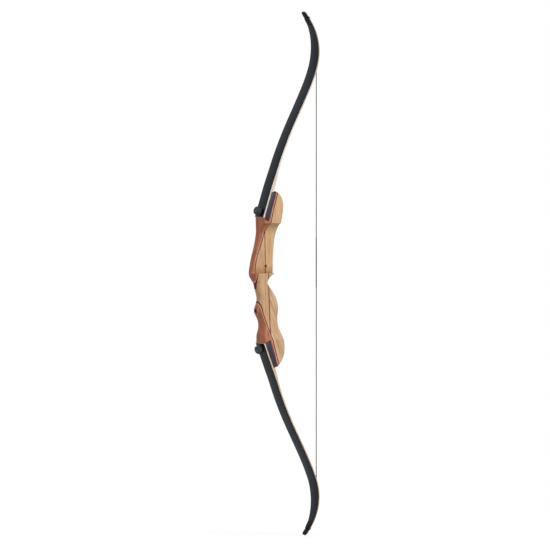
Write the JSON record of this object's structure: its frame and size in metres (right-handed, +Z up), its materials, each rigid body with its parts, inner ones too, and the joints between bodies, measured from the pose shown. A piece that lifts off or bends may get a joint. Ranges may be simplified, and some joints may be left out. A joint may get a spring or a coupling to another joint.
{
  "type": "recurve bow",
  "caption": "Right-handed take-down recurve bow, strung: laminated wooden riser with sight window and arrow shelf, bolted limbs that flex, and a served string.",
  "frame": {"origin": "the throat, which is the deepest point of the grip, in the bow's middle plane", "axes": "+Z runs up the bow to the upper limb, +X runs from the throat to the string and the archer, +Y is the archer's right-hand side of the bow, and the sight window is cut on the -Y side"},
  "size_m": [0.2267, 0.0481, 1.522],
  "materials": {
    "maple": "satin lacquer",
    "red_hardwood": "satin lacquer",
    "purple_stripe": "satin lacquer",
    "dark_laminate": "satin lacquer",
    "limb_glass": "satin black fibreglass",
    "limb_core": "satin lacquer",
    "tip_overlay": "satin",
    "knob": "satin black",
    "washer": "satin black",
    "steel_bolt": "black oxide",
    "steel_pin": "turned",
    "brass": "dull, turned",
    "black_bushing": "black",
    "string": "waxed twisted thread",
    "serving": "wound thread"
  },
  "bodies": {
    "riser": {"riser_grip_block": "maple", "riser_upper_back_block": "maple", "riser_lower_back_block": "maple", "riser_centre_stripe": "purple_stripe", "upper_accent_stripe": "purple_stripe", "lower_accent_stripe": "purple_stripe", "upper_front_block": "red_hardwood", "lower_front_block": "red_hardwood", "upper_pocket_block": "dark_laminate", "lower_pocket_block": "dark_laminate", "upper_bolt_insert": "brass", "lower_bolt_insert": "brass", "upper_locating_pin": "steel_pin", "lower_locating_pin": "steel_pin", "stabilizer_bushing": "black_bushing", "rest_bushing": "brass", "sight_bushings": "brass", "upper_limb_base_back_glass": "limb_glass", "upper_limb_base_core": "limb_core", "upper_limb_wedge": "limb_core", "upper_limb_base_belly_glass": "limb_glass", "lower_limb_base_back_glass": "limb_glass", "lower_limb_base_core": "limb_core", "lower_limb_wedge": "limb_core", "lower_limb_base_belly_glass": "limb_glass"},
    "upper_limb": {"upper_limb_back_glass": "limb_glass", "upper_limb_core": "limb_core", "upper_limb_belly_glass": "limb_glass", "upper_tip_overlay": "tip_overlay"},
    "upper_loop_end": {"upper_string_loop": "serving", "upper_string_end": "serving"},
    "upper_string_half": {"upper_string": "string", "upper_end_serving": "serving", "upper_centre_serving": "serving"},
    "upper_washer": {"upper_bolt_washer": "washer"},
    "upper_limb_bolt": {"upper_knob": "knob", "upper_bolt": "steel_bolt"},
    "lower_limb": {"lower_limb_back_glass": "limb_glass", "lower_limb_core": "limb_core", "lower_limb_belly_glass": "limb_glass", "lower_tip_overlay": "tip_overlay"},
    "lower_loop_end": {"lower_string_loop": "serving", "lower_string_end": "serving"},
    "lower_string_half": {"lower_string": "string", "lower_end_serving": "serving", "lower_centre_serving": "serving"},
    "lower_washer": {"lower_bolt_washer": "washer"},
    "lower_limb_bolt": {"lower_knob": "knob", "lower_bolt": "steel_bolt"}
  },
  "joints": [
    {"name": "upper_limb_flex", "type": "hinge", "parent": "riser", "child": "upper_limb", "pos_m": [0.04479, 0, 0.3676], "axis": [0, 1, 0], "range_deg": [0, 26.84], "stiffness_Nm_per_rad": 140},
    {"name": "upper_string_end_swing", "type": "hinge", "parent": "upper_limb", "child": "upper_loop_end", "pos_m": [0.14163, 0, 0.76859], "axis": [0, -1, 0], "range_deg": [0, 36.69], "deforming": ["upper_string_loop", "upper_string_end"]},
    {"name": "upper_string_straighten", "type": "hinge", "parent": "upper_loop_end", "child": "upper_string_half", "pos_m": [0.17522, 0, 0.6736], "axis": [0, -1, 0], "range_deg": [0, 19.49], "deforming": ["upper_string", "upper_centre_serving"]},
    {"name": "lower_limb_flex", "type": "hinge", "parent": "riser", "child": "lower_limb", "pos_m": [0.04102, 0, -0.31846], "axis": [0, -1, 0], "range_deg": [0, 25.51], "stiffness_Nm_per_rad": 140},
    {"name": "lower_string_end_swing", "type": "hinge", "parent": "lower_limb", "child": "lower_loop_end", "pos_m": [0.14476, 0, -0.71939], "axis": [0, 1, 0], "range_deg": [0, 35.41], "deforming": ["lower_string_loop", "lower_string_end"]},
    {"name": "lower_string_straighten", "type": "hinge", "parent": "lower_loop_end", "child": "lower_string_half", "pos_m": [0.17522, 0, -0.6244], "axis": [0, 1, 0], "range_deg": [0, 17.79], "deforming": ["lower_string", "lower_centre_serving"]},
    {"name": "upper_bolt_travel", "type": "slide", "parent": "riser", "child": "upper_washer", "axis": [-0.9466, 0, 0.3223], "range_m": [0, 0.01556]},
    {"name": "upper_bolt_turn", "type": "hinge", "parent": "upper_washer", "child": "upper_limb_bolt", "pos_m": [-0.0198, 0, 0.20699], "axis": [-0.9466, 0, 0.3223], "range_deg": [0, 3971]},
    {"name": "lower_bolt_travel", "type": "slide", "parent": "riser", "child": "lower_washer", "axis": [-0.9272, 0, -0.3746], "range_m": [0, 0.01556]},
    {"name": "lower_bolt_turn", "type": "hinge", "parent": "lower_washer", "child": "lower_limb_bolt", "pos_m": [-0.01641, 0, -0.18909], "axis": [-0.9272, 0, -0.3746], "range_deg": [0, 3971]}
  ],
  "couplings": [
    {"joint": "upper_string_end_swing", "follows": "upper_limb_flex", "ratio": 1.3663},
    {"joint": "upper_string_straighten", "follows": "upper_limb_flex", "ratio": 0.72546},
    {"joint": "lower_string_end_swing", "follows": "upper_limb_flex", "ratio": 1.3188},
    {"joint": "lower_string_straighten", "follows": "upper_limb_flex", "ratio": 0.6624},
    {"joint": "lower_limb_flex", "follows": "upper_limb_flex", "ratio": 0.95035},
    {"joint": "upper_bolt_turn", "follows": "upper_bolt_travel", "rad_per_m": 4453.5},
    {"joint": "lower_bolt_turn", "follows": "lower_bolt_travel", "rad_per_m": 4453.5}
  ]
}
